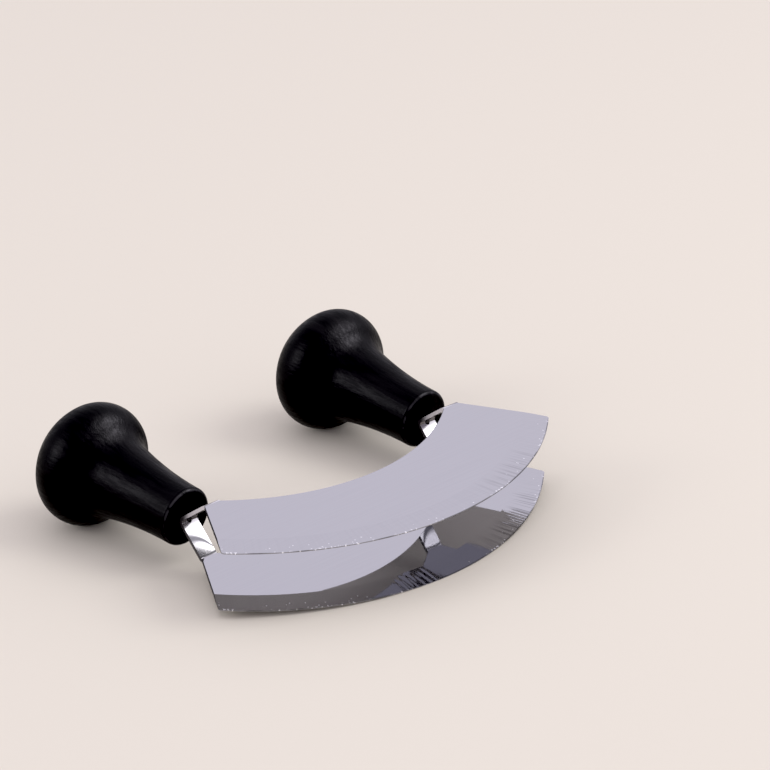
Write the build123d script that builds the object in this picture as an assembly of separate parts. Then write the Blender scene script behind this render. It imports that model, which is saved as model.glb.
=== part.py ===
from build123d import *
import math
import os

# Rocking herb knife with two crescent blades, lying on its side as it is put down.
# It rests on its two knobs and on the middle of the lower blade's cutting edge.
# Lengths are in millimetres and angles in degrees.
#
# Tool frame, used until the last step: X runs along the chord of the blades,
# Y runs from the cutting edges to the knobs and is zero at the blade tips,
# Z is square to the middle plane between the two blades.

# Blades
blade_chord = 150.0
blade_thickness = 1.2
cutting_arc_radius = 110.0
hollow_arc_radius = 82.7
blade_end_rise = 26.4
end_lean = 16.9
tip_round = 1.2
edge_break = 0.15
ground_band = 9.0
edge_thickness = 0.3
blade_gap = 18.4
blade_splay = 1.4

# Brackets: one bent strip at each end of the blades, of the same sheet as they are
strip_width = 6.8
foot_bend_rise = 0.5
foot_bend_radius = 1.1
web_half_width = 0.8
web_bend_radius = 0.9
bracket_rise = 11.5

# Handles: turned wood, a knob on a flared neck
handle_length = 62.2
knob_radius = 21.4
knob_belly_radius = 10.9
knob_belly_depth = 15.6
neck_radius = 10.3
neck_middle_radius = 11.2
shank_root_radius = 14.6
neck_edge_round = 1.6
shoulder_fillet = 12.0

# Screws: one without a head through each bracket's bend, welded there, into the handle
screw_radius = 0.95
screw_length = 30.0
screw_point_length = 3.5
screw_point_radius = 0.25
screw_proud = 0.3
screw_end_break = 0.2

# Clearances and the overrun that every cut may use
screw_clearance = 0.1
wood_clearance = 0.03
pilot_relief = 0.5
overrun = 2.0

# Places that follow from the sizes
half_chord = blade_chord / 2
half_gap = blade_gap / 2
half_plate = blade_thickness / 2
cutting_centre_y = math.sqrt(cutting_arc_radius**2 - half_chord**2)
edge_bottom_y = cutting_centre_y - cutting_arc_radius
end_top_half_width = half_chord - end_lean
hollow_half_width = end_top_half_width - strip_width
hollow_centre_y = blade_end_rise + math.sqrt(hollow_arc_radius**2 - hollow_half_width**2)
hollow_bottom_y = hollow_centre_y - hollow_arc_radius
handle_x = end_top_half_width - strip_width / 2
neck_y = blade_end_rise + bracket_rise
splay = math.radians(blade_splay)


def on_blade(along, out):
    """Tool-frame Y and Z of a point of the upper blade.

    along is the point's height above the tips in the blade's own plane,
    out is its distance outward from the blade's inner face.
    """
    rise = along - blade_end_rise
    y = blade_end_rise + rise * math.cos(splay) + out * math.sin(splay)
    z = half_gap - rise * math.sin(splay) + out * math.cos(splay)
    return y, z


# Upper blade, drawn flat with its inner face at zero height.
# The outline is a crescent with straight, slanted ends and a short flat over each end.
outline = make_face(
    ThreePointArc((-half_chord, 0), (0, edge_bottom_y), (half_chord, 0))
    + Line((half_chord, 0), (end_top_half_width, blade_end_rise))
    + Line((end_top_half_width, blade_end_rise), (hollow_half_width, blade_end_rise))
    + ThreePointArc(
        (hollow_half_width, blade_end_rise),
        (0, hollow_bottom_y),
        (-hollow_half_width, blade_end_rise),
    )
    + Line((-hollow_half_width, blade_end_rise), (-end_top_half_width, blade_end_rise))
    + Line((-end_top_half_width, blade_end_rise), (-half_chord, 0))
)
tips = outline.vertices().group_by(Axis.X)
outline = fillet(tips[0] + tips[-1], tip_round)
plate = extrude(outline, blade_thickness)

# The cut edges are broken on both faces, apart from the flats that meet the brackets.
broken = plate.faces().sort_by(Axis.Z)[-1].edges() + plate.faces().sort_by(Axis.Z)[0].edges()
flats = broken.filter_by(Axis.X).filter_by(lambda edge: edge.center().Y > hollow_bottom_y)
plate = chamfer([edge for edge in broken if edge not in flats], edge_break)

# The ground band thins the plate on both faces towards the cutting edge.
half_edge = edge_thickness / 2
band_slope = (half_plate - half_edge) / ground_band
past_edge = min(overrun, half_edge / band_slope / 2)
half_past = half_edge - band_slope * past_edge
ground_start = cutting_arc_radius - ground_band
ground_section = make_face(
    Polyline(
        (0, half_plate + half_plate),
        (ground_start, half_plate + half_plate),
        (cutting_arc_radius + past_edge, half_plate + half_past),
        (cutting_arc_radius + past_edge, half_plate - half_past),
        (ground_start, 0),
        (0, 0),
        close=True,
    )
)
ground_disc = revolve(Plane.XZ * ground_section, Axis.Z)
flat_blade = plate & (Pos(0, cutting_centre_y, 0) * ground_disc)

# It leans out by the splay about its top edge, half a gap above the middle plane.
seat = Location((0, blade_end_rise, half_gap), (-blade_splay, 0, 0))
blade_upper = seat * Pos(0, -blade_end_rise, 0) * flat_blade
blade_lower = mirror(blade_upper, about=Plane.XY)

# Bracket strip, drawn as its middle line in the YZ plane. Its feet stand end to end on
# the flats of the blades: foot, bend, leg, web across the handle's end, leg, bend, foot.
foot_end = on_blade(blade_end_rise, half_plate)
foot_bend = on_blade(blade_end_rise + foot_bend_rise, half_plate)
web_y = neck_y - half_plate
strip_line = FilletPolyline(
    foot_end,
    foot_bend,
    (web_y, web_half_width),
    (web_y, -web_half_width),
    (foot_bend[0], -foot_bend[1]),
    (foot_end[0], -foot_end[1]),
    radius=[foot_bend_radius, web_bend_radius, web_bend_radius, foot_bend_radius],
)
strip_section = Plane.YZ * trace(strip_line, blade_thickness)
strip = extrude(strip_section, strip_width / 2, both=True)
hole_radius = screw_radius + screw_clearance
hole_length = 2 * (blade_thickness + hole_radius) + overrun
strip -= Pos(0, web_y, 0) * Cylinder(hole_radius, hole_length, rotation=(90, 0, 0))
bracket_left = Pos(-handle_x, 0, 0) * strip
bracket_right = Pos(handle_x, 0, 0) * strip

# Handle, turned about its axis. The profile has the radius along X and the
# distance from the neck's end along Y: flared shank, round belly, domed back.
belly_centre_radius = knob_radius - knob_belly_radius
knob_belly_place = handle_length - knob_belly_depth
dome_radius = (knob_belly_depth**2 + belly_centre_radius**2 - knob_belly_radius**2) / (
    2 * (knob_belly_depth - knob_belly_radius)
)
dome_centre = handle_length - dome_radius
root_reach = math.sqrt(knob_belly_radius**2 - (shank_root_radius - belly_centre_radius) ** 2)
shank_root_place = knob_belly_place - root_reach
join_angle = math.atan2(knob_belly_place - dome_centre, belly_centre_radius)
join_point = (
    dome_radius * math.cos(join_angle),
    dome_centre + dome_radius * math.sin(join_angle),
)
dome_middle_angle = (join_angle + math.pi / 2) / 2
dome_middle = (
    dome_radius * math.cos(dome_middle_angle),
    dome_centre + dome_radius * math.sin(dome_middle_angle),
)
profile = make_face(
    Line((0, 0), (neck_radius, 0))
    + ThreePointArc(
        (neck_radius, 0),
        (neck_middle_radius, shank_root_place / 2),
        (shank_root_radius, shank_root_place),
    )
    + ThreePointArc(
        (shank_root_radius, shank_root_place),
        (knob_radius, knob_belly_place),
        join_point,
    )
    + ThreePointArc(join_point, dome_middle, (0, handle_length))
    + Line((0, handle_length), (0, 0))
)
corners = profile.vertices()
root_corner = corners.sort_by_distance((shank_root_radius, shank_root_place))[0]
profile = fillet(root_corner, shoulder_fillet)
corners = profile.vertices()
neck_corner = corners.sort_by_distance((neck_radius, 0))[0]
profile = fillet(neck_corner, neck_edge_round)
turning = revolve(profile, Axis.Y)
pilot_depth = screw_length - screw_proud - blade_thickness + pilot_relief
pilot = Cylinder(
    screw_radius + wood_clearance,
    pilot_depth,
    rotation=(-90, 0, 0),
    align=(Align.CENTER, Align.CENTER, Align.MIN),
)
turning -= pilot
handle_left = Pos(-handle_x, neck_y, 0) * turning
handle_right = Pos(handle_x, neck_y, 0) * turning

# Screw, turned about its axis: its blunt end stands a little proud in the bracket's
# bend, its shank and point are in the wood.
shank_end = screw_length - screw_point_length
screw_profile = make_face(
    Polyline(
        (0, 0),
        (screw_radius - screw_end_break, 0),
        (screw_radius, screw_end_break),
        (screw_radius, shank_end),
        (screw_point_radius, screw_length),
        (0, screw_length),
        close=True,
    )
)
screw = revolve(screw_profile, Axis.Y)
screw_y = neck_y - blade_thickness - screw_proud
screw_left = Pos(-handle_x, screw_y, 0) * screw
screw_right = Pos(handle_x, screw_y, 0) * screw

# Rest pose: the middle plane tips until the knobs and the lower blade's
# cutting edge touch one level plane.
edge_y, edge_z = on_blade(edge_bottom_y, half_plate + half_edge)
belly_y = neck_y + knob_belly_place
reach = belly_y - edge_y
offset = belly_centre_radius - edge_z
rest_tilt = math.degrees(
    math.asin(knob_belly_radius / math.hypot(reach, offset)) + math.atan2(offset, reach)
)

pieces = {
    "blade_upper": blade_upper,
    "blade_lower": blade_lower,
    "bracket_left": bracket_left,
    "bracket_right": bracket_right,
    "handle_left": handle_left,
    "handle_right": handle_right,
    "screw_left": screw_left,
    "screw_right": screw_right,
}
tipped = {name: Rot(rest_tilt, 0, 0) * piece for name, piece in pieces.items()}

# The origin is at the middle of the footprint, on the level plane.
bounds = Compound(children=[Compound([*piece.solids()]) for piece in tipped.values()]).bounding_box()
to_origin = Pos(-bounds.center().X, -bounds.center().Y, -bounds.min.Z)

os.makedirs("parts", exist_ok=True)
for name, piece in tipped.items():
    placed = to_origin * piece
    placed.label = name
    export_step(placed, "parts/" + name + ".step")

print("rest tilt", round(rest_tilt, 3), "dome radius", round(dome_radius, 3))
print("size", bounds.size)
print("origin in the tool frame", round(bounds.center().Y, 3), round(bounds.min.Z, 3))
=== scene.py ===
import math

import bmesh
import bpy
from mathutils import Matrix, Vector

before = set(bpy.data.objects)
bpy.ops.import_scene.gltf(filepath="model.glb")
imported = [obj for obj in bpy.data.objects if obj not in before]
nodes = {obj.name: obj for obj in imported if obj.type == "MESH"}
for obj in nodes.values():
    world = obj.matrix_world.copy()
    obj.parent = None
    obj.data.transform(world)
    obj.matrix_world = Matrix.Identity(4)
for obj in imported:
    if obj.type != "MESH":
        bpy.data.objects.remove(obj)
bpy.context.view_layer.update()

# Blades: two crescents of rolled stainless steel, 1.2 mm thick, cut from sheet and
# polished like a mirror. A band along each cutting edge is ground across, which leaves
# fine lines square to the edge. Their flats are welded to the brackets' feet.
REST_TILT = math.radians(5.076)
BLADE_SPLAY = math.radians(1.4)
CUTTING_RADIUS = 0.110
GROUND_BAND = 0.009
BAND_SOFTNESS = 0.0004
UPPER_ARC_CENTRE = (0.0, 0.04473, 0.02885)
LOWER_ARC_CENTRE = (0.0, 0.04612, 0.01315)

# Zones of chatter and waves: the angle of the middle, half the width, and the depth.
UPPER_CHATTER = ((0.36, 0.22, 0.42),)
LOWER_CHATTER = ((0.42, 0.26, 1.1), (-0.11, 0.13, 0.2))
LOWER_WAVES = (-0.11, 0.085, 0.5)

STEEL_COLOUR = (0.468, 0.468, 0.492, 1)
STEEL_STREAK_COLOUR = (0.456, 0.456, 0.481, 1)
STREAK_SCALE = (25, 2600, 2600)
STREAK_LIMITS = (0.35, 0.75)
SCRATCH_TURNS = ((0.35, 260.0), (-0.9, 210.0), (1.4, 300.0))
SCRATCH_LIMITS = (0.745, 0.80)
SCRATCH_HEIGHT = -0.02
SMEAR_LIMITS = (0.42, 0.68)
GRIT_SCALE = 420.0
GRIT_SIZE = (0.10, 0.05)
GRIT_PATCH_SCALE = 160.0
GRIT_PATCH_LIMITS = (0.70, 0.74)
BLADE_SMEAR_SCALE = 38.0

GRIND_LINE_COLOUR = (0.17, 0.167, 0.175, 1)
GRIND_LINE_SCALE = 850.0
GRIND_LINE_LIMITS = (0.48, 0.60)
GRIND_LINE_DARKNESS = 0.6
GRIND_DEPTH = 0.00007
BAND_LINES = 0.035
CHATTER_CORE = 0.25
LINE_DRIFT = 0.02
LINE_END_SCALE = 300.0
LINE_FADE = 0.0055
LINE_RAGGED = 0.006
WAVE_TURN = 2300.0
WAVE_WANDER = 2.0
WAVE_CORE = 0.6

SHEARED_EDGE_PAINTED_SHADE_COLOUR = (0.025, 0.023, 0.025, 1)
RIM_FACING = (0.93, 0.80)
EDGE_LINE = 0.0004
EDGE_LINE_DARKNESS = 0.6
EDGE_GAP_LIMITS = (0.58, 0.42)
EDGE_SHADE_LIFT_ANGLES = (0.42, 0.05)
EDGE_SHADE_LIFT_SHARE = 0.6
BURR_PAINTED_GLINT_COLOUR = (0.9, 0.9, 0.92, 1)
BURR_START = 0.0011
BURR_FULL = 0.0004
BURR_SCALE = 900.0
BURR_LIMITS = (0.56, 0.62)
BURR_RUN_SCALE = 60.0
BURR_RUN_LIMITS = (0.45, 0.60)
PIT_SCALE = 750.0
PIT_START = 0.006
PIT_SIZE = (0.28, 0.14)
PIT_SHARE = 0.26
PIT_STRENGTH = 0.6

POLISH_ROUGHNESS = (0.02, 0.035)
SMEAR_ROUGHNESS = 0.015
GROUND_ROUGHNESS = 0.045
GROUND_SHARE = 0.5
SCRATCH_ROUGHNESS = 0.22
GRIT_ROUGHNESS = 0.4
SHEARED_ROUGHNESS = 0.42
BURR_ROUGHNESS = 0.5


def set_inputs(tree, node, inputs):
    for name, value in inputs.items():
        if isinstance(value, bpy.types.NodeSocket):
            tree.links.new(value, node.inputs[name])
        else:
            node.inputs[name].default_value = value
    return node


def shader_node(tree, kind, inputs=None, **settings):
    node = tree.nodes.new("ShaderNode" + kind)
    for name, value in settings.items():
        setattr(node, name, value)
    return set_inputs(tree, node, inputs or {})


def maths(tree, operation, first, second=0.0):
    return shader_node(tree, "Math", {0: first, 1: second}, operation=operation).outputs[0]


def add(tree, first, second):
    return maths(tree, "ADD", first, second)


def subtract(tree, first, second):
    return maths(tree, "SUBTRACT", first, second)


def multiply(tree, first, second):
    return maths(tree, "MULTIPLY", first, second)


def distance_from(tree, value, place):
    return maths(tree, "ABSOLUTE", subtract(tree, value, place))


def length_of(tree, first, second):
    squares = add(tree, multiply(tree, first, first), multiply(tree, second, second))
    return maths(tree, "SQRT", squares)


def ramp_between(tree, value, low, high, out_low=0.0, out_high=1.0):
    node = shader_node(
        tree,
        "MapRange",
        {"Value": value, "From Min": low, "From Max": high, "To Min": out_low, "To Max": out_high},
        interpolation_type="SMOOTHSTEP",
    )
    return node.outputs["Result"]


def mix_colour(tree, mask, first, second):
    node = shader_node(tree, "Mix", {0: mask, 6: first, 7: second}, data_type="RGBA")
    return node.outputs[2]


def mix_value(tree, mask, first, second):
    node = shader_node(tree, "Mix", {0: mask, 2: first, 3: second}, data_type="FLOAT")
    return node.outputs[0]


def noise(tree, vector, scale, detail, distortion=0.0):
    inputs = {"Vector": vector, "Scale": scale, "Detail": detail, "Distortion": distortion}
    return shader_node(tree, "TexNoise", inputs).outputs["Fac"]


def mapped(tree, vector, rotation=(0, 0, 0), scale=(1, 1, 1)):
    inputs = {"Vector": vector, "Rotation": rotation, "Scale": scale}
    return shader_node(tree, "Mapping", inputs).outputs[0]


def placed(tree, vector, location, rotation):
    """The vector in a frame that has this location and rotation."""
    inputs = {"Vector": vector, "Location": location, "Rotation": rotation}
    return shader_node(tree, "Mapping", inputs, vector_type="TEXTURE").outputs[0]


def split(tree, vector):
    return shader_node(tree, "SeparateXYZ", {0: vector}).outputs


def join(tree, *parts):
    return shader_node(tree, "CombineXYZ", dict(enumerate(parts))).outputs[0]


def finish_material(tree, shader, colour, rough, height, depth, strength=1.0):
    relief = shader_node(tree, "Bump", {"Height": height, "Strength": strength, "Distance": depth})
    tree.links.new(colour, shader.inputs["Base Color"])
    tree.links.new(rough, shader.inputs["Roughness"])
    tree.links.new(relief.outputs["Normal"], shader.inputs["Normal"])


def new_material(name):
    material = bpy.data.materials.new(name)
    material.use_nodes = True
    return material, material.node_tree, material.node_tree.nodes["Principled BSDF"]


def new_group(name, inputs, outputs):
    group = bpy.data.node_groups.new(name, "ShaderNodeTree")
    for socket, kind in inputs:
        group.interface.new_socket(socket, in_out="INPUT", socket_type=kind)
    for socket in outputs:
        group.interface.new_socket(socket, in_out="OUTPUT", socket_type="NodeSocketFloat")
    start = group.nodes.new("NodeGroupInput")
    end = group.nodes.new("NodeGroupOutput")
    return group, start, end


def group_node(tree, group, inputs):
    node = tree.nodes.new("ShaderNodeGroup")
    node.node_tree = group
    return set_inputs(tree, node, inputs).outputs


# Polishing marks: long faint streaks along the first axis, and a few hair scratches.
polish_marks, marks_in, marks_out = new_group(
    "polish_marks", [("Vector", "NodeSocketVector")], ["Streaks", "Scratches"]
)
along = mapped(polish_marks, marks_in.outputs["Vector"], scale=STREAK_SCALE)
polish_marks.links.new(noise(polish_marks, along, 1.0, 4.0), marks_out.inputs["Streaks"])
scratches = 0.0
for turn, stretch in SCRATCH_TURNS:
    turned = mapped(
        polish_marks, marks_in.outputs["Vector"], (0, 0, turn), scale=(9, stretch * 4, 90)
    )
    line = ramp_between(polish_marks, noise(polish_marks, turned, 1.0, 1.0), *SCRATCH_LIMITS)
    scratches = maths(polish_marks, "MAXIMUM", scratches, line)
polish_marks.links.new(scratches, marks_out.inputs["Scratches"])

# Hand marks: cloudy smears and a little grit, which change only how sharp a surface
# reflects.
hand_marks, smear_in, smear_out = new_group(
    "hand_marks",
    [("Vector", "NodeSocketVector"), ("Scale", "NodeSocketFloat")],
    ["Smears", "Specks"],
)
touched = smear_in.outputs["Vector"]
cloud = noise(hand_marks, touched, smear_in.outputs["Scale"], 5.0)
smeared = ramp_between(hand_marks, cloud, *SMEAR_LIMITS)
hand_marks.links.new(smeared, smear_out.inputs["Smears"])
grit = shader_node(hand_marks, "TexVoronoi", {"Vector": touched, "Scale": GRIT_SCALE})
speck = ramp_between(hand_marks, grit.outputs["Distance"], *GRIT_SIZE)
grit_patches = noise(hand_marks, touched, GRIT_PATCH_SCALE, 1.0)
grit_here = ramp_between(hand_marks, grit_patches, *GRIT_PATCH_LIMITS)
hand_marks.links.new(multiply(hand_marks, speck, grit_here), smear_out.inputs["Specks"])


def blade_steel(name, tilt, arc_centre, chatter_zones, wave_zone=None):
    """Polished steel of one blade. Its zones lie at angles about the cutting arc's centre."""
    material, tree, steel = new_material(name)
    steel.inputs["Metallic"].default_value = 1.0

    # Blade-plane coordinates about the centre of the cutting arc.
    source = shader_node(tree, "TexCoord").outputs
    plane = placed(tree, source["Object"], arc_centre, (tilt, 0, 0))
    across, up_blade, _ = split(tree, plane)
    radius = length_of(tree, across, up_blade)
    angle = maths(tree, "ARCTAN2", across, multiply(tree, up_blade, -1.0))
    edge_length = multiply(tree, angle, CUTTING_RADIUS)
    band_start = CUTTING_RADIUS - GROUND_BAND
    in_band = ramp_between(tree, radius, band_start - BAND_SOFTNESS, band_start + BAND_SOFTNESS)

    # Grinding lines: thin and square to the edge, deeper where the wheel chattered.
    line_place = join(tree, edge_length, multiply(tree, radius, LINE_DRIFT))
    fine_lines = noise(tree, line_place, GRIND_LINE_SCALE, 2.5)
    line_ends = noise(tree, line_place, LINE_END_SCALE, 1.0)
    line_reach = multiply(tree, subtract(tree, line_ends, 0.5), LINE_RAGGED)
    in_line = ramp_between(
        tree, add(tree, radius, line_reach), band_start, band_start + LINE_FADE
    )
    chatter = 0.0
    for middle, half_width, depth in chatter_zones:
        away = distance_from(tree, angle, middle)
        zone = ramp_between(tree, away, half_width, half_width * CHATTER_CORE, 0.0, depth)
        chatter = maths(tree, "MAXIMUM", chatter, zone)
    line_strength = add(
        tree, multiply(tree, in_band, BAND_LINES), multiply(tree, chatter, in_line)
    )
    line_mask = multiply(
        tree,
        maths(tree, "MINIMUM", multiply(tree, line_strength, GRIND_LINE_DARKNESS), 1.0),
        ramp_between(tree, fine_lines, *GRIND_LINE_LIMITS),
    )

    # The sheared rim of the plate, dull beside the polished faces and painted dark as painted
    # shade.
    facing = shader_node(tree, "VectorMath", {0: source["Normal"]}, operation="DOT_PRODUCT")
    facing.inputs[1].default_value = (0, -math.sin(tilt), math.cos(tilt))
    rim = ramp_between(tree, maths(tree, "ABSOLUTE", facing.outputs["Value"]), *RIM_FACING)

    # Burrs and nicks along the last millimetre before the edge, painted near white as painted
    # glints.
    edge_place = join(tree, edge_length, radius)
    burr_runs = noise(tree, line_place, BURR_RUN_SCALE, 1.0)
    at_edge = ramp_between(
        tree, radius, CUTTING_RADIUS - BURR_START, CUTTING_RADIUS - BURR_FULL
    )
    nicks = ramp_between(tree, noise(tree, edge_place, BURR_SCALE, 2.0), *BURR_LIMITS)
    burr_here = ramp_between(tree, burr_runs, *BURR_RUN_LIMITS)
    burr = multiply(tree, multiply(tree, at_edge, nicks), burr_here)

    # Pits: tiny dots, closer together towards the edge, painted bright as painted glints.
    pit_dots = shader_node(tree, "TexVoronoi", {"Vector": edge_place, "Scale": PIT_SCALE})
    pit_pick = shader_node(tree, "SeparateColor", {0: pit_dots.outputs["Color"]})
    pit_share = ramp_between(
        tree, radius, CUTTING_RADIUS - PIT_START, CUTTING_RADIUS - BURR_FULL, 0.0, PIT_SHARE
    )
    pit_chosen = maths(tree, "LESS_THAN", pit_pick.outputs[0], pit_share)
    pits = multiply(tree, ramp_between(tree, pit_dots.outputs["Distance"], *PIT_SIZE), pit_chosen)
    burr = maths(tree, "MAXIMUM", burr, multiply(tree, pits, PIT_STRENGTH))

    # The edge itself is painted as a broken dark line of painted shade, and near the edge the
    # rim's painted shade fades towards one end.
    edge_line = ramp_between(
        tree, radius, CUTTING_RADIUS - EDGE_LINE, CUTTING_RADIUS - EDGE_LINE / 2
    )
    edge_gaps = ramp_between(tree, burr_runs, *EDGE_GAP_LIMITS, 0.0, EDGE_LINE_DARKNESS)
    edge_shade_lift = ramp_between(tree, angle, *EDGE_SHADE_LIFT_ANGLES, 0.0, EDGE_SHADE_LIFT_SHARE)
    rim_left = subtract(tree, 1.0, multiply(tree, at_edge, edge_shade_lift))
    dark = maths(
        tree, "MAXIMUM", multiply(tree, rim, rim_left), multiply(tree, edge_line, edge_gaps)
    )

    marks = group_node(tree, polish_marks, {"Vector": plane})
    smears = group_node(
        tree, hand_marks, {"Vector": source["Object"], "Scale": BLADE_SMEAR_SCALE}
    )
    streaks = ramp_between(tree, marks["Streaks"], *STREAK_LIMITS)
    colour = mix_colour(tree, streaks, STEEL_COLOUR, STEEL_STREAK_COLOUR)
    colour = mix_colour(tree, line_mask, colour, GRIND_LINE_COLOUR)
    # Painted shade on the rim and along the cutting edge.
    colour = mix_colour(tree, dark, colour, SHEARED_EDGE_PAINTED_SHADE_COLOUR)
    # Painted glints on the burrs and pits.
    colour = mix_colour(tree, burr, colour, BURR_PAINTED_GLINT_COLOUR)

    rough = mix_value(tree, marks["Streaks"], *POLISH_ROUGHNESS)
    rough = add(tree, rough, multiply(tree, smears["Smears"], SMEAR_ROUGHNESS))
    for mask, roughness in (
        (multiply(tree, in_band, GROUND_SHARE), GROUND_ROUGHNESS),
        (marks["Scratches"], SCRATCH_ROUGHNESS),
        (smears["Specks"], GRIT_ROUGHNESS),
        (rim, SHEARED_ROUGHNESS),
        (burr, BURR_ROUGHNESS),
    ):
        rough = mix_value(tree, mask, rough, roughness)

    height = multiply(tree, line_strength, fine_lines)
    height = add(tree, height, multiply(tree, marks["Scratches"], SCRATCH_HEIGHT))
    if wave_zone:
        # One run of even waves, which break the reflections into bars.
        middle, half_width, depth = wave_zone
        from_middle = distance_from(tree, angle, middle)
        core = half_width * WAVE_CORE
        waves_here = ramp_between(tree, from_middle, half_width, core, 0.0, depth)
        phase = add(
            tree, multiply(tree, edge_length, WAVE_TURN), multiply(tree, line_ends, WAVE_WANDER)
        )
        wave = multiply(tree, maths(tree, "SINE", phase), multiply(tree, waves_here, in_line))
        height = add(tree, height, wave)
    finish_material(tree, steel, colour, rough, height, GRIND_DEPTH)
    return material


nodes["blade_upper"].material_slots[0].material = blade_steel(
    "upper_blade_steel", REST_TILT - BLADE_SPLAY, UPPER_ARC_CENTRE, UPPER_CHATTER
)
nodes["blade_lower"].material_slots[0].material = blade_steel(
    "lower_blade_steel", REST_TILT + BLADE_SPLAY, LOWER_ARC_CENTRE, LOWER_CHATTER, LOWER_WAVES
)

# Brackets: bright strip of the blades' own steel, bent cold into a V over the handle's
# end. Its feet are welded end to end to the blades, then ground flush and buffed.
NECK_CENTRE = (0.0547, 0.003040, 0.017235)
STRIP_COLOUR = (0.56, 0.545, 0.56, 1)
STRIP_SHADE_COLOUR = (0.47, 0.46, 0.475, 1)
STRIP_UPPER_PAINTED_LIGHT_COLOUR = (0.74, 0.725, 0.74, 1)
STRIP_SIDE_LIT_COLOUR = (0.72, 0.70, 0.73, 1)
STRIP_SIDE_PAINTED_SHADE_COLOUR = (0.10, 0.095, 0.10, 1)
STRIP_STREAK_LIMITS = (0.35, 0.8)
STRIP_WAVE_SCALE = 110.0
STRIP_WAVE_DEPTH = 0.000009
STRIP_SMEAR_SCALE = 90.0
STRIP_ROUGHNESS = (0.08, 0.16)
STRIP_SMEAR_ROUGHNESS = 0.05
STRIP_SCRATCH_ROUGHNESS = 0.3
STRIP_SIDE_ROUGHNESS = 0.55
STRIP_SIDE_FACING = (0.6, 0.85)
SIDE_PAINTED_SHADE_HEIGHTS = (0.0004, -0.0006)
SIDE_PAINTED_SHADE_PLACES = (-0.0045, -0.0012)
LOWER_LEG_HEIGHTS = (0.0006, -0.0006)
LEG_WANDER = 0.002
PAINTED_REFLECTION_COLOUR = (0.035, 0.034, 0.042, 1)
PAINTED_REFLECTION_CURVE = (-0.00675, 0.56, -70.0)
PAINTED_REFLECTION_HALF_WIDTH = (0.00125, 0.27)
PAINTED_REFLECTION_FADE = (1.5, 0.2)
PAINTED_REFLECTION_STRENGTH = 0.92
WELD_COLOUR = (0.07, 0.068, 0.075, 1)
WELD_PLACE = -0.01075
WELD_HALF_WIDTH = 0.00045
WELD_STRENGTH = 0.85
WELD_ROUGHNESS = 0.3
BEND_PAINTED_SHADE_COLOUR = (0.075, 0.068, 0.078, 1)
BEND_SHADE_PLACES = (-0.0030, -0.0012)
BEND_SHADE_STRENGTH = 0.8


def mirrored_coords(tree):
    """Object coordinates of the left piece and the right one, folded onto each other
    and turned so that the second axis runs along the handle from the neck's end."""
    source = shader_node(tree, "TexCoord").outputs
    x, y, z = split(tree, source["Object"])
    folded = join(tree, maths(tree, "ABSOLUTE", x), y, z)
    return source, placed(tree, folded, NECK_CENTRE, (REST_TILT, 0, 0))


bracket_steel, tree, strip = new_material("bracket_steel")
strip.inputs["Metallic"].default_value = 1.0
source, strip_place = mirrored_coords(tree)
leg_across, leg_along, leg_height = split(tree, strip_place)
marks = group_node(
    tree, polish_marks, {"Vector": mapped(tree, strip_place, (0, 0, math.pi / 2))}
)
smears = group_node(tree, hand_marks, {"Vector": source["Object"], "Scale": STRIP_SMEAR_SCALE})
waves = noise(tree, strip_place, STRIP_WAVE_SCALE, 0.0)
wander = multiply(tree, subtract(tree, waves, 0.5), LEG_WANDER)
wandering = add(tree, leg_along, wander)
lower_leg = ramp_between(tree, leg_height, *LOWER_LEG_HEIGHTS)
side_facing = maths(tree, "ABSOLUTE", split(tree, source["Normal"])[0])
strip_side = ramp_between(tree, side_facing, *STRIP_SIDE_FACING)

# A painted reflection: a dark patch across each lower leg stands in for the upper blade seen
# in it. It is wide at the outer side of the strip and thin at its inner side.
patch_line = multiply(tree, leg_across, PAINTED_REFLECTION_CURVE[1])
patch_bow = multiply(tree, multiply(tree, leg_across, leg_across), PAINTED_REFLECTION_CURVE[2])
patch_middle = add(tree, add(tree, patch_line, patch_bow), PAINTED_REFLECTION_CURVE[0])
patch_half = add(tree, multiply(tree, leg_across, PAINTED_REFLECTION_HALF_WIDTH[1]), PAINTED_REFLECTION_HALF_WIDTH[0])
patch_reach = maths(tree, "DIVIDE", distance_from(tree, wandering, patch_middle), patch_half)
painted_reflection = multiply(tree, ramp_between(tree, patch_reach, *PAINTED_REFLECTION_FADE), lower_leg)

# The buffed weld, a thin dark line where the strip's bend meets the flat of the blade, and
# painted shade in the bend beside the neck.
from_weld = distance_from(tree, wandering, WELD_PLACE)
weld = ramp_between(tree, from_weld, WELD_HALF_WIDTH, WELD_HALF_WIDTH * 0.3)
bend_painted_shade = ramp_between(tree, wandering, *BEND_SHADE_PLACES)

streaks = ramp_between(tree, marks["Streaks"], *STRIP_STREAK_LIMITS)
colour = mix_colour(tree, streaks, STRIP_COLOUR, STRIP_SHADE_COLOUR)
# Painted light: the upper leg is drawn lighter than the lower leg of the same strip.
colour = mix_colour(tree, lower_leg, STRIP_UPPER_PAINTED_LIGHT_COLOUR, colour)
for mask, strength, mark_colour in (
    (painted_reflection, PAINTED_REFLECTION_STRENGTH, PAINTED_REFLECTION_COLOUR),
    (weld, WELD_STRENGTH, WELD_COLOUR),
    (bend_painted_shade, BEND_SHADE_STRENGTH, BEND_PAINTED_SHADE_COLOUR),
):
    colour = mix_colour(tree, multiply(tree, mask, strength), colour, mark_colour)
# Painted light and shade on the cut sides of the strip: light on the upper leg, painted shade on
# the lower leg and near the neck.
side_painted_shade = maths(
    tree,
    "MAXIMUM",
    ramp_between(tree, leg_height, *SIDE_PAINTED_SHADE_HEIGHTS),
    ramp_between(tree, leg_along, *SIDE_PAINTED_SHADE_PLACES),
)
side_colour = mix_colour(tree, side_painted_shade, STRIP_SIDE_LIT_COLOUR, STRIP_SIDE_PAINTED_SHADE_COLOUR)
colour = mix_colour(tree, strip_side, colour, side_colour)

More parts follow.
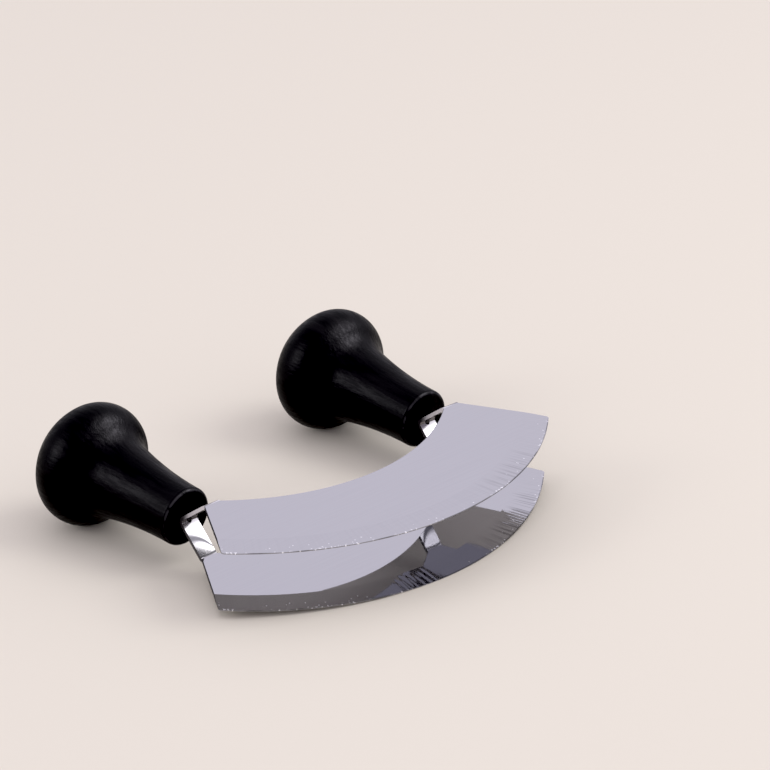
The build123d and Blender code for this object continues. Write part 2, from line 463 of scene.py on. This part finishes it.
rough = mix_value(tree, marks["Streaks"], *STRIP_ROUGHNESS)
rough = add(tree, rough, multiply(tree, smears["Smears"], STRIP_SMEAR_ROUGHNESS))
for mask, roughness in (
    (marks["Scratches"], STRIP_SCRATCH_ROUGHNESS),
    (weld, WELD_ROUGHNESS),
    (strip_side, STRIP_SIDE_ROUGHNESS),
):
    rough = mix_value(tree, mask, rough, roughness)
finish_material(tree, strip, colour, rough, waves, STRIP_WAVE_DEPTH)
for side in ("left", "right"):
    nodes["bracket_" + side].material_slots[0].material = bracket_steel

# Screws: plain steel, without a head. The blunt end is welded in the bend of the bracket,
# and the rest is driven up the middle of the handle. The steel is painted near black with
# lighter spots, as painted shade in the bend.
SCREW_PAINTED_SHADE_COLOUR = (0.035, 0.034, 0.036, 1)
SCREW_SPOT_COLOUR = (0.30, 0.29, 0.30, 1)
WORN_LIMITS = (0.58, 0.72)
BLOOM_SCALE = 1100.0
BLOOM_DEPTH = 0.00001
BLOOM_STRENGTH = 0.6
SCREW_SMEAR_SCALE = 600.0
SCREW_ROUGHNESS = 0.22
SCREW_SMEAR_ROUGHNESS = 0.15

screw_in_painted_shade, tree, screw_steel = new_material("screw_in_painted_shade")
screw_steel.inputs["Metallic"].default_value = 1.0
_, screw_place = mirrored_coords(tree)
bloom = noise(tree, screw_place, BLOOM_SCALE, 4.0)
smears = group_node(tree, hand_marks, {"Vector": screw_place, "Scale": SCREW_SMEAR_SCALE})
worn = ramp_between(tree, bloom, *WORN_LIMITS)
colour = mix_colour(tree, worn, SCREW_PAINTED_SHADE_COLOUR, SCREW_SPOT_COLOUR)
rough = add(tree, multiply(tree, smears["Smears"], SCREW_SMEAR_ROUGHNESS), SCREW_ROUGHNESS)
finish_material(tree, screw_steel, colour, rough, bloom, BLOOM_DEPTH, BLOOM_STRENGTH)
for side in ("left", "right"):
    nodes["screw_" + side].material_slots[0].material = screw_in_painted_shade

# Handles: turned hardwood knobs under thin satin black paint, each held against its
# bracket by the screw in its pilot hole. The grain, which runs along the handle, still
# shows through the paint where light rakes it.
PAINT_COLOUR = (0.0005, 0.0005, 0.0006, 1)
PAINT_THIN_COLOUR = (0.0018, 0.0017, 0.0019, 1)
PAINT_THIN_LIMITS = (0.42, 0.70)
PAINT_SPECULAR = 0.04
PAINT_ROUGHNESS = (0.46, 0.32)
PAINT_SMEAR_SCALE = 60.0
PAINT_SMEAR_ROUGHNESS = 0.08
PORE_SCALE = (900, 110, 900)
PORE_LIMITS = (0.35, 0.65)
FIGURE_SCALE = (220, 25, 220)
FIGURE_DISTORTION = 0.6
FIGURE_HEIGHT = 1.4
ORANGE_PEEL_SCALE = 700.0
ORANGE_PEEL_HEIGHT = 0.5
GRAIN_DEPTH = 0.00012
RIM_WEAR_AND_HIGHLIGHT_COLOUR = (0.014, 0.0135, 0.0145, 1)
NECK_RADIUS = 0.0103
RIM_INSET = 0.0004
RIM_WIDTH = 0.0006
RIM_WORN_LIMITS = (0.42, 0.60)

black_paint, tree, paint = new_material("black_paint_on_wood")
paint.inputs["Specular IOR Level"].default_value = PAINT_SPECULAR
source, handle_place = mirrored_coords(tree)
side_sign = maths(tree, "SIGN", split(tree, source["Object"])[0])
grain_place = shader_node(
    tree, "VectorMath", {0: handle_place, 1: join(tree, 0.0, 0.0, side_sign)}, operation="ADD"
).outputs[0]
pores = noise(tree, mapped(tree, grain_place, scale=PORE_SCALE), 1.0, 5.0)
figure = noise(
    tree, mapped(tree, grain_place, scale=FIGURE_SCALE), 1.0, 3.0, FIGURE_DISTORTION
)
orange_peel = noise(tree, grain_place, ORANGE_PEEL_SCALE, 2.0)
smears = group_node(tree, hand_marks, {"Vector": grain_place, "Scale": PAINT_SMEAR_SCALE})
thin = ramp_between(tree, figure, *PAINT_THIN_LIMITS)
colour = mix_colour(tree, thin, PAINT_COLOUR, PAINT_THIN_COLOUR)

# The rounded rim of the neck, lighter in patches: partly paint rubbed thin, partly a painted
# highlight.
neck_across, neck_along, neck_height = split(tree, handle_place)
neck_round = length_of(tree, neck_across, neck_height)
from_rim = length_of(
    tree,
    subtract(tree, neck_round, NECK_RADIUS - RIM_INSET),
    subtract(tree, neck_along, RIM_INSET),
)
rim_wear_and_highlight = multiply(
    tree,
    ramp_between(tree, from_rim, RIM_WIDTH, RIM_WIDTH * 0.3),
    ramp_between(tree, figure, *RIM_WORN_LIMITS),
)
colour = mix_colour(tree, rim_wear_and_highlight, colour, RIM_WEAR_AND_HIGHLIGHT_COLOUR)
rough = mix_value(tree, ramp_between(tree, pores, *PORE_LIMITS), *PAINT_ROUGHNESS)
rough = add(tree, rough, multiply(tree, smears["Smears"], PAINT_SMEAR_ROUGHNESS))
height = add(tree, pores, multiply(tree, figure, FIGURE_HEIGHT))
height = add(tree, height, multiply(tree, orange_peel, ORANGE_PEEL_HEIGHT))
finish_material(tree, paint, colour, rough, height, GRAIN_DEPTH)
for side in ("left", "right"):
    nodes["handle_" + side].material_slots[0].material = black_paint

# Floor: one plain pale sheet of card, wide enough for every view. The knife lies on it,
# and it is not part of the knife.
FLOOR_HALF_SIZE = 3.0
FLOOR_COLOUR = (0.66, 0.62, 0.53, 1)
FLOOR_ROUGHNESS = 0.9
FLOOR_SPECULAR = 0.1

floor_mesh = bpy.data.meshes.new("floor")
floor_form = bmesh.new()
bmesh.ops.create_grid(floor_form, x_segments=1, y_segments=1, size=FLOOR_HALF_SIZE)
floor_form.to_mesh(floor_mesh)
floor_form.free()
floor = bpy.data.objects.new("floor", floor_mesh)
bpy.context.scene.collection.objects.link(floor)
floor_card, _, card = new_material("pale_card")
card.inputs["Base Color"].default_value = FLOOR_COLOUR
card.inputs["Roughness"].default_value = FLOOR_ROUGHNESS
card.inputs["Specular IOR Level"].default_value = FLOOR_SPECULAR
floor_mesh.materials.append(floor_card)

# Light: an even pale room, one softbox on the left and one on the right. A second pair in
# nearly the same places lights only the black handles, to bring out their sheen.
ROOM_COLOUR = (0.93, 0.89, 1.0, 1)
ROOM_STRENGTH = 1.12
BLACK_POINT = 0.008
PAINT_LIGHT_COLOUR = (0.95, 0.90, 1.0)
# Name, bearing and rise in degrees, distance, size, radiance, only on the handles.
SOFTBOXES = (
    ("softbox_left", -66.0, 28.0, 1.6, (0.60, 0.50), 3.5, False),
    ("softbox_right", 128.0, 46.0, 1.5, (0.75, 0.75), 3.4, False),
    ("paint_light_left", -66.0, 28.0, 1.6, (0.60, 0.50), 21.0, True),
    ("paint_light_right", 126.0, 46.0, 1.5, (0.90, 0.75), 27.0, True),
)

view = bpy.context.scene.view_settings
view.view_transform = "Standard"
view.use_curve_mapping = True
view.curve_mapping.black_level = (BLACK_POINT, BLACK_POINT, BLACK_POINT)
view.curve_mapping.update()
room = bpy.data.worlds.new("pale_room")
bpy.context.scene.world = room
room.use_nodes = True
background = room.node_tree.nodes["Background"]
background.inputs["Color"].default_value = ROOM_COLOUR
background.inputs["Strength"].default_value = ROOM_STRENGTH
painted = bpy.data.collections.new("painted_handles")
for side in ("left", "right"):
    painted.objects.link(nodes["handle_" + side])
for name, bearing_deg, rise_deg, distance, size, radiance, only_painted in SOFTBOXES:
    bearing, rise = math.radians(bearing_deg), math.radians(rise_deg)
    softbox = bpy.data.lights.new(name, "AREA")
    softbox.shape = "RECTANGLE"
    softbox.size, softbox.size_y = size
    softbox.energy = radiance * math.pi * size[0] * size[1]
    holder = bpy.data.objects.new(name, softbox)
    holder.location = (
        distance * math.cos(rise) * math.sin(bearing),
        distance * math.cos(rise) * math.cos(bearing),
        distance * math.sin(rise),
    )
    holder.rotation_euler = (-holder.location).to_track_quat("-Z", "Y").to_euler()
    bpy.context.scene.collection.objects.link(holder)
    if only_painted:
        softbox.color = PAINT_LIGHT_COLOUR
        holder.light_linking.receiver_collection = painted

# Camera: a long lens some two metres away, at the place and the angle that were fitted
# to the outlines of the blades and handles in the photograph.
CAMERA_AZIMUTH = math.radians(-44.146)
CAMERA_ELEVATION = math.radians(24.258)
CAMERA_ROLL = math.radians(-0.276)
CAMERA_DISTANCE = 2.085173
CAMERA_OFFSET = (-0.023436, -0.044248)
FOCAL_PIXELS = 6246.65
PHOTO_WIDTH = 770
SENSOR_WIDTH = 36.0

back = Vector(
    (
        math.sin(CAMERA_AZIMUTH) * math.cos(CAMERA_ELEVATION),
        -math.cos(CAMERA_AZIMUTH) * math.cos(CAMERA_ELEVATION),
        math.sin(CAMERA_ELEVATION),
    )
)
level_right = (-back).cross(Vector((0, 0, 1))).normalized()
level_up = level_right.cross(-back)
roll_cos, roll_sin = math.cos(CAMERA_ROLL), math.sin(CAMERA_ROLL)
right = level_right * roll_cos + level_up * roll_sin
up = level_up * roll_cos - level_right * roll_sin
camera_data = bpy.data.cameras.new("camera")
camera_data.sensor_width = SENSOR_WIDTH
camera_data.lens = FOCAL_PIXELS / PHOTO_WIDTH * SENSOR_WIDTH
camera = bpy.data.objects.new("camera", camera_data)
camera.matrix_world = Matrix((right, up, back)).transposed().to_4x4()
camera.location = back * CAMERA_DISTANCE - right * CAMERA_OFFSET[0] - up * CAMERA_OFFSET[1]
bpy.context.scene.collection.objects.link(camera)
bpy.context.scene.camera = camera
